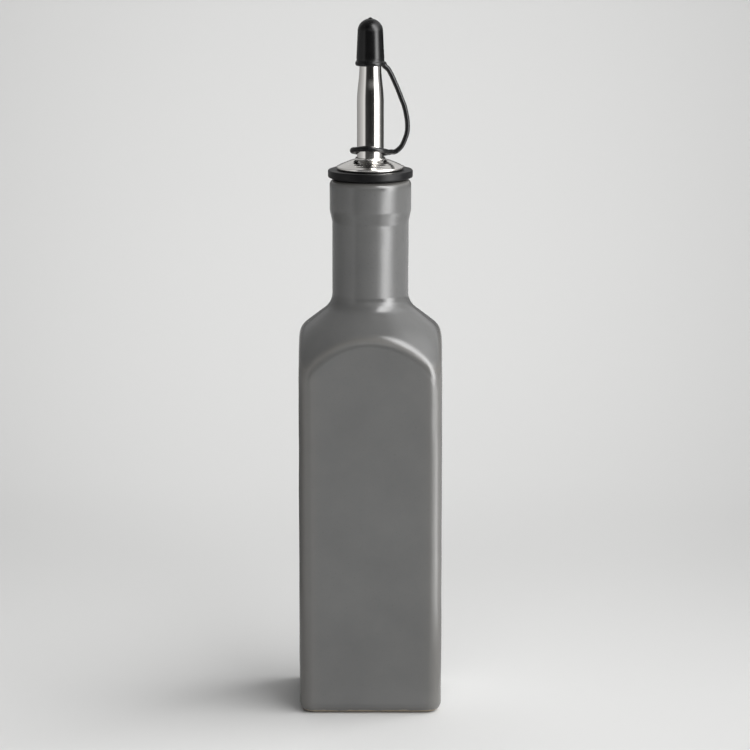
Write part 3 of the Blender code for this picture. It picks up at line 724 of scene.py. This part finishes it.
def calculate(tree, operation, *values, clamp=False):
    """The output of a Math node on two or three numbers or sockets."""
    made = add(tree, "ShaderNodeMath", operation=operation, use_clamp=clamp)
    for socket, value in zip(made.inputs, values):
        if isinstance(value, bpy.types.NodeSocket):
            tree.links.new(value, socket)
        else:
            socket.default_value = value
    return made.outputs[0]


def mixed(tree, factor, first, second, blend="MIX"):
    """The output of a colour Mix node."""
    made = add(tree, "ShaderNodeMix", data_type="RGBA", blend_type=blend)
    for socket, value in zip((made.inputs[0], made.inputs[6], made.inputs[7]), (factor, first, second)):
        if isinstance(value, bpy.types.NodeSocket):
            tree.links.new(value, socket)
        else:
            socket.default_value = value
    return made.outputs[2]


def spread(tree, value, low, high, to_low, to_high):
    """A value stretched from one range to another, and held inside the new one."""
    made = add(tree, "ShaderNodeMapRange")
    socket_names = ("Value", "From Min", "From Max", "To Min", "To Max")
    for name, item in zip(socket_names, (value, low, high, to_low, to_high)):
        if isinstance(item, bpy.types.NodeSocket):
            tree.links.new(item, made.inputs[name])
        else:
            made.inputs[name].default_value = item
    return made.outputs[0]


def noise(tree, place, scale, detail, **values):
    """The output of a Noise texture."""
    made = give(add(tree, "ShaderNodeTexNoise"), Vector=place, Scale=scale, Detail=detail, **values)
    return made.outputs[0]


def bumped(tree, height, strength, distance):
    """The normal that a Bump node makes from a height."""
    return give(add(tree, "ShaderNodeBump"), Height=height, Strength=strength, Distance=distance).outputs[0]


def parts_of(tree, vector):
    """The X, Y and Z outputs for a vector."""
    made = add(tree, "ShaderNodeSeparateXYZ")
    tree.links.new(vector, made.inputs[0])
    return made.outputs


def new_group(name, inputs, outputs):
    """An empty node group with a Vector input, number inputs with their defaults, and number outputs."""
    group = bpy.data.node_groups.new(name, "ShaderNodeTree")
    group.interface.new_socket("Vector", in_out="INPUT", socket_type="NodeSocketVector")
    for label, value in inputs.items():
        made = group.interface.new_socket(label, in_out="INPUT", socket_type="NodeSocketFloat")
        made.default_value = value
    for label in outputs:
        group.interface.new_socket(label, in_out="OUTPUT", socket_type="NodeSocketFloat")
    return group, add(group, "NodeGroupInput").outputs, add(group, "NodeGroupOutput").inputs


def grain_group():
    """Fine surface grain: a height for bump, and a roughness that varies slowly between two values."""
    group, given, out = new_group(
        "surface grain",
        {"Scale": 400, "Patch Scale": 40, "Smooth": 0.2, "Rough": 0.3},
        ["Height", "Roughness"],
    )
    fine = noise(group, given["Vector"], given["Scale"], 3)
    patch = noise(group, given["Vector"], given["Patch Scale"], 2)
    rough = spread(group, patch, 0.35, 0.65, given["Smooth"], given["Rough"])
    group.links.new(fine, out["Height"])
    group.links.new(rough, out["Roughness"])
    return group


def lines_group():
    """Fine lines: noise that is stretched along the vector's third coordinate, thinned to its crests."""
    group, given, out = new_group("fine lines", {"Across": 3000, "Along": 30, "Share": 0.6}, ["Mask"])
    scale = add(group, "ShaderNodeCombineXYZ")
    give(scale, X=given["Across"], Y=given["Across"], Z=given["Along"])
    stretch = add(group, "ShaderNodeVectorMath", operation="MULTIPLY")
    group.links.new(given["Vector"], stretch.inputs[0])
    group.links.new(scale.outputs[0], stretch.inputs[1])
    streaks = noise(group, stretch.outputs[0], 1, 2)
    group.links.new(spread(group, streaks, given["Share"], 0.85, 0, 1), out["Mask"])
    return group


def new_material(name, metallic=0.0, roughness=0.5):
    """A material with a Principled shader, and its Object coordinates."""
    made = bpy.data.materials.new(name)
    made.use_nodes = True
    tree = made.node_tree
    shader = tree.nodes["Principled BSDF"]
    shader.inputs["Metallic"].default_value = metallic
    shader.inputs["Roughness"].default_value = roughness
    place = add(tree, "ShaderNodeTexCoord").outputs["Object"]
    return made, tree, shader, place


def use_group(tree, group, place, **values):
    """A group node in a material, with its vector and its own values."""
    made = add(tree, "ShaderNodeGroup", node_tree=group)
    return give(made, Vector=place, **values)


def glaze_material(grain):
    """Satin grey glaze: clouded and speckled, thinner and warmer on its edges, orange-peel bump, bare clay at
    the foot's ragged glaze line, and a thin dark line of painted contact shadow along the foot's edge."""
    made, tree, shader, place = new_material("grey_glaze")
    shader.inputs["IOR"].default_value = 1.5
    cloud = spread(tree, noise(tree, place, 38, 4, Roughness=0.6), 0.3, 0.7, 0, 1)
    colour = mixed(tree, cloud, *GLAZE_COLOURS)
    speck = spread(tree, noise(tree, place, 1100, 2), 0.62, 0.75, 0, 0.35)
    colour = mixed(tree, speck, colour, GLAZE_SPECK)
    edge = add(tree, "ShaderNodeAttribute", attribute_name="glaze_break").outputs["Fac"]
    colour = mixed(tree, calculate(tree, "MULTIPLY", edge, 0.55), colour, GLAZE_EDGE)

    height = parts_of(tree, place)[2]
    ragged = noise(tree, place, 260, 3)
    line = calculate(tree, "ADD", height, spread(tree, ragged, 0.3, 0.7, -0.0003, 0.0003))
    bare = spread(tree, line, *CLAY_HEIGHTS, 1, 0)
    colour = mixed(tree, bare, colour, mixed(tree, ragged, *CLAY_COLOURS))
    # Painted contact shadow: a thin dark line just above the foot's edge. The foot's flat underside, at
    # height 0, stays pale
    low = spread(tree, height, *FOOT_PAINTED_SHADOW_HEIGHTS, 1, 0)
    raised = spread(tree, height, 0, 0.00005, 0, 1)
    colour = mixed(tree, calculate(tree, "MULTIPLY", low, raised), colour, FOOT_PAINTED_SHADOW)

    surface = use_group(tree, grain, place, Scale=330, Patch_Scale=55, Smooth=0.11, Rough=0.15)
    rough = spread(tree, bare, 0, 1, surface.outputs["Roughness"], 0.85)
    bump = bumped(tree, surface.outputs["Height"], 0.25, 0.00006)
    give(shader, Base_Color=colour, Roughness=rough, Normal=bump)
    return made


def rubber_material(name, grain, smooth, rough, shine):
    """Black moulded rubber: nearly black, faintly dusty in patches, with a fine grain. smooth and rough are
    the least and the most roughness, and shine is the specular level."""
    made, tree, shader, place = new_material(name)
    shader.inputs["Specular IOR Level"].default_value = shine
    dust = spread(tree, noise(tree, place, 150, 3), 0.4, 0.75, 0, 1)
    colour = mixed(tree, dust, *RUBBER_COLOURS)
    surface = use_group(tree, grain, place, Scale=2600, Patch_Scale=120, Smooth=smooth, Rough=rough)
    bump = bumped(tree, surface.outputs["Height"], 0.3, 0.00004)
    give(shader, Base_Color=colour, Roughness=surface.outputs["Roughness"], Normal=bump)
    return made


def steel_material(name, grain, lines, along, smooth, rough):
    """Polished steel: bright, with hairlines along the tube, or round the plate where along isn't set, that
    roughen it a little. smooth and rough are the least and the most roughness between them."""
    made, tree, shader, place = new_material(name, metallic=1.0)
    if along:
        route = place
    else:
        # The plate's lines run round its axis, so they follow the distance from it
        x, y, z = parts_of(tree, place)
        square = calculate(tree, "ADD", calculate(tree, "MULTIPLY", x, x), calculate(tree, "MULTIPLY", y, y))
        distance = calculate(tree, "SQRT", square)
        route = give(add(tree, "ShaderNodeCombineXYZ"), X=distance, Y=0, Z=z).outputs[0]
    hair = use_group(tree, lines, route, Across=5200, Along=60, Share=0.58).outputs[0]
    surface = use_group(tree, grain, place, Scale=900, Patch_Scale=180, Smooth=smooth, Rough=rough)
    hair_rough = calculate(tree, "MULTIPLY", hair, 0.08)
    full_rough = calculate(tree, "ADD", surface.outputs["Roughness"], hair_rough)
    colour = mixed(tree, calculate(tree, "MULTIPLY", hair, 0.5), *STEEL_COLOURS)
    give(shader, Base_Color=colour, Roughness=full_rough, Normal=bumped(tree, hair, 0.05, 0.00001))
    return made


# Camera, floor and light


def make_camera():
    """The photograph's view: back from the aim by the camera's distance, and raised by its elevation."""
    back = Vector((0, -math.cos(CAMERA_ELEVATION), math.sin(CAMERA_ELEVATION)))
    camera = bpy.data.objects.new("camera", bpy.data.cameras.new("camera"))
    camera.data.lens = CAMERA_LENS_MM
    camera.location = CAMERA_AIM + back * CAMERA_DISTANCE
    camera.rotation_mode = "QUATERNION"
    camera.rotation_quaternion = (-back).to_track_quat("-Z", "Y")
    bpy.context.scene.collection.objects.link(camera)
    bpy.context.scene.camera = camera


# Floor: its grey tones by distance behind the bottle in metres, a pale floor with painted light falloff, and
# how it darkens to both sides in painted shade
FLOOR_TONES_WITH_PAINTED_FALLOFF = (
    (-0.10, 0.71), (-0.01, 0.69), (0.09, 0.665), (0.17, 0.645), (0.27, 0.61), (0.44, 0.65), (0.80, 0.675),
    (1.60, 0.68), (3.70, 0.645),
)
FLOOR_DEPTH = 4.0
FLOOR_SIZE = 12.0
FLOOR_DROP = 0.0002
SIDE_SHADE = 11.0
SIDE_SHADE_LIMIT = 0.2
SIDE_SHADE_IN_FRONT = 0.15
SIDE_SHADE_FULL_FROM = 0.35


def make_floor():
    """A wide pale floor whose colour holds painted light falloff. Its tone follows the table of tones by
    distance, and darkens to both sides in painted shade with the square of the angle from the middle, as seen
    from in front."""
    signs = (-1, -1), (1, -1), (1, 1), (-1, 1)
    mesh = bpy.data.meshes.new("studio_floor")
    mesh.from_pydata([(x * FLOOR_SIZE, y * FLOOR_SIZE, -FLOOR_DROP) for x, y in signs], [], [(0, 1, 2, 3)])
    floor = bpy.data.objects.new("studio_floor", mesh)
    made, tree, shader, place = new_material("pale_floor", roughness=0.7)
    x, y, _ = parts_of(tree, place)
    # Painted light falloff: the floor's tone by its distance behind the bottle
    ramp = add(tree, "ShaderNodeValToRGB")
    ramp.color_ramp.interpolation = "B_SPLINE"
    first = FLOOR_TONES_WITH_PAINTED_FALLOFF[0][0]
    stops = ramp.color_ramp.elements
    for _ in FLOOR_TONES_WITH_PAINTED_FALLOFF[2:]:
        stops.new(0.5)
    for stop, (distance, tone) in zip(stops, FLOOR_TONES_WITH_PAINTED_FALLOFF):
        stop.position = (distance - first) / FLOOR_DEPTH
        stop.color = (tone, tone, 0.99 * tone, 1)
    tree.links.new(spread(tree, y, first, first + FLOOR_DEPTH, 0, 1), ramp.inputs[0])
    # Painted shade towards both sides, growing with the square of the angle from the middle
    ahead = calculate(tree, "MAXIMUM", calculate(tree, "ADD", y, CAMERA_DISTANCE), 1.0)
    angle = calculate(tree, "DIVIDE", x, ahead)
    shade = calculate(tree, "MULTIPLY", calculate(tree, "MULTIPLY", angle, angle), SIDE_SHADE)
    behind = spread(tree, y, 0, SIDE_SHADE_FULL_FROM, SIDE_SHADE_IN_FRONT, 1)
    shade = calculate(tree, "MINIMUM", calculate(tree, "MULTIPLY", shade, behind), SIDE_SHADE_LIMIT)
    give(shader, Base_Color=mixed(tree, shade, ramp.outputs[0], BLACK))
    shader.inputs["Specular IOR Level"].default_value = 0.0
    mesh.materials.append(made)
    bpy.context.scene.collection.objects.link(floor)


# Reflected studio: a tent round the bottle that only reflections see. Its table gives a direction round from
# the camera's side in degrees, right positive, and the brightness there in bands 1 to 5. Band 0 is the floor
# near the bottle and band 6 the roof. TENT_BANDS has the band at each of TENT_ELEVATIONS, seen from TENT_EYE
TENT_RADIUS = 0.90
TENT_WALL_HEIGHT = 0.70
TENT_WALL_ROWS = 29
TENT_EYE = 0.15
TENT_TOP_TONE = 0.25
TENT_NEAR_FLOOR_TONE = 0.45
TENT_ELEVATIONS = (-45, -28, -13, -9, -3.2, -2.5, 13, 20, 30, 42, 58, 75)
TENT_BANDS = (0, 1, 1, 2, 2, 3, 3, 4, 4, 5, 5, 6)
TENT_FLOOR_START = 0.07
TENT_TONES = (
    (-150, 0.20, 0.40, 0.30, 0.56, 0.52),
    (-110, 0.15, 0.50, 0.40, 0.30, 0.35),
    (-75, 0.55, 0.78, 0.60, 0.30, 0.25),
    (-52, 1.00, 0.95, 0.85, 0.50, 0.10),
    (-46, 0.70, 0.60, 0.50, 0.30, 0.05),
    (-40, 0.60, 0.50, 0.05, 0.20, 0.05),
    (-25, 0.60, 0.50, 0.03, 0.30, 0.05),
    (0, 0.65, 0.70, 0.02, 0.90, 0.15),
    (18, 0.65, 1.20, 0.03, 1.10, 0.90),
    (28, 0.80, 3.20, 0.05, 2.50, 7.00),
    (36, 2.00, 7.00, 0.40, 6.00, 11.0),
    (46, 3.00, 9.00, 6.50, 11.0, 11.0),
    (56, 4.00, 7.40, 12.5, 12.5, 10.0),
    (66, 6.00, 4.00, 8.50, 10.0, 8.00),
    (76, 5.00, 1.80, 2.80, 5.00, 5.50),
    (86, 2.40, 1.10, 0.50, 2.20, 3.00),
    (98, 1.10, 0.90, 0.30, 1.00, 2.20),
    (112, 0.70, 0.65, 0.20, 0.50, 1.80),
    (130, 0.50, 0.60, 0.04, 0.60, 1.00),
    (155, 0.40, 0.50, 0.05, 0.66, 0.66),
)


def tent_glow(azimuths, elevations):
    """Brightness at each elevation and azimuth, interpolated in the table both ways."""
    table = np.array(TENT_TONES)
    bands = [np.interp(azimuths, table[:, 0], tones, period=360) for tones in table[:, 1:].T]
    near_floor = np.full_like(azimuths, TENT_NEAR_FLOOR_TONE)
    top = np.full_like(azimuths, TENT_TOP_TONE)
    bands = np.stack([near_floor, *bands, top])
    place = np.interp(elevations, TENT_ELEVATIONS, TENT_BANDS)
    low = np.minimum(place.astype(int), len(bands) - 2)
    share = (place - low)[:, None]
    return bands[low] * (1 - share) + bands[low + 1] * share


def make_tent():
    """A ring on the floor, a round wall and a domed roof, (R cos t, R sin t) in section, whose own brightness
    is stored at its points."""
    ground = np.stack([np.linspace(TENT_FLOOR_START, TENT_RADIUS, 24)[:-1], np.full(23, 0.0003)], -1)
    wall_heights = np.linspace(0.0005, TENT_WALL_HEIGHT, TENT_WALL_ROWS)
    wall = np.stack([np.full_like(wall_heights, TENT_RADIUS), wall_heights], -1)
    around = np.linspace(0, QUARTER_TURN, 19)[1:-1]
    roof = np.stack([TENT_RADIUS * np.cos(around), TENT_WALL_HEIGHT + TENT_RADIUS * np.sin(around)], -1)
    profile = np.vstack([ground, wall, roof])
    rows = turn(profile, 180)
    count, columns = rows.shape[:2]
    azimuths = np.degrees(np.arctan2(rows[0, :, 0], -rows[0, :, 1]))
    elevations = np.degrees(np.arctan2(profile[:, 1] - TENT_EYE, profile[:, 0]))
    glow = np.append(tent_glow(azimuths, elevations).ravel(), TENT_TOP_TONE)
    faces = grid_faces(count, columns, False)[:, ::-1].tolist()
    last = (count - 1) * columns + np.arange(columns)
    following = (count - 1) * columns + (np.arange(columns) + 1) % columns
    faces += np.stack([following, last, np.full(columns, count * columns)], -1).tolist()
    mesh = bpy.data.meshes.new("reflected_studio")
    points = np.vstack([rows.reshape(-1, 3), (0, 0, TENT_WALL_HEIGHT + TENT_RADIUS)])
    mesh.from_pydata(points.tolist(), [], faces)
    mesh.attributes.new("glow", "FLOAT", "POINT").data.foreach_set("value", glow.astype(np.float32))
    tent = bpy.data.objects.new("reflected_studio", mesh)

    made = bpy.data.materials.new("reflected_studio")
    made.use_nodes = True
    made.cycles.emission_sampling = "NONE"
    tree = made.node_tree
    tree.nodes.clear()
    tone = add(tree, "ShaderNodeAttribute", attribute_name="glow").outputs["Fac"]
    glow_shader = give(add(tree, "ShaderNodeEmission"), Color=(1, 1, 1, 1), Strength=tone)
    out = add(tree, "ShaderNodeOutputMaterial")
    tree.links.new(glow_shader.outputs[0], out.inputs[0])
    mesh.materials.append(made)
    bpy.context.scene.collection.objects.link(tent)
    tent.visible_camera = False
    tent.visible_diffuse = False
    tent.visible_shadow = False
    tent.visible_volume_scatter = False


# Lamps as (name, degrees round from the camera's side, degrees up, angular size in degrees, strength)
LAMPS = (
    ("key", 74, 26, 100, 4.4),
    ("front_fill", 5, 20, 50, 0.9),
    ("right_fill", 95, 8, 60, 1.0),
    ("top_back", 170, 60, 60, 0.85),
)


def make_lamps():
    """Soft distant lamps round the bottle, none of which shows in a reflection."""
    for name, azimuth, elevation, size, strength in LAMPS:
        lamp = bpy.data.lights.new(name, "SUN")
        lamp.energy = strength
        lamp.angle = math.radians(size)
        made = bpy.data.objects.new(name, lamp)
        turn_angle, rise = math.radians(azimuth), math.radians(elevation)
        level = math.cos(rise)
        source = Vector((math.sin(turn_angle) * level, -math.cos(turn_angle) * level, math.sin(rise)))
        made.rotation_mode = "QUATERNION"
        made.rotation_quaternion = source.to_track_quat("Z", "Y")
        made.visible_glossy = False
        bpy.context.scene.collection.objects.link(made)


WORLD_FILL = 0.05
WORLD_TONE = 0.71


def make_world():
    """An even fill for the object, and a pale backdrop where the camera looks past the floor."""
    world = bpy.data.worlds.new("studio")
    bpy.context.scene.world = world
    world.use_nodes = True
    tree = world.node_tree
    tree.nodes.clear()
    path = add(tree, "ShaderNodeLightPath")
    seen = calculate(tree, "MAXIMUM", path.outputs["Is Camera Ray"], path.outputs["Is Transmission Ray"])
    seen = calculate(tree, "MAXIMUM", seen, path.outputs["Is Glossy Ray"])
    strength = spread(tree, seen, 0, 1, WORLD_FILL, WORLD_TONE)
    glow = give(add(tree, "ShaderNodeBackground"), Color=(1, 1, 1, 1), Strength=strength)
    out = add(tree, "ShaderNodeOutputWorld")
    tree.links.new(glow.outputs[0], out.inputs[0])


make_camera()
make_floor()
make_tent()
make_lamps()
make_world()

surface_grain = grain_group()
fine_lines = lines_group()
glaze = glaze_material(surface_grain)
smooth_rubber = rubber_material("smooth_black_rubber", surface_grain, smooth=0.19, rough=0.24, shine=0.28)
matte_rubber = rubber_material("matte_black_rubber", surface_grain, smooth=0.30, rough=0.40, shine=0.18)
tube_steel = steel_material("polished_steel_tube", surface_grain, fine_lines, True, smooth=0.04, rough=0.07)
plate_steel = steel_material("spun_steel_plate", surface_grain, fine_lines, False, smooth=0.13, rough=0.20)

make_bottle(glaze)
make_stopper(matte_rubber)
make_plate(plate_steel)
make_spout_tube(tube_steel)
make_air_tube(tube_steel)
make_cap(smooth_rubber)
make_strap(smooth_rubber)
make_ring(smooth_rubber)

bpy.context.scene.view_settings.view_transform = "Standard"
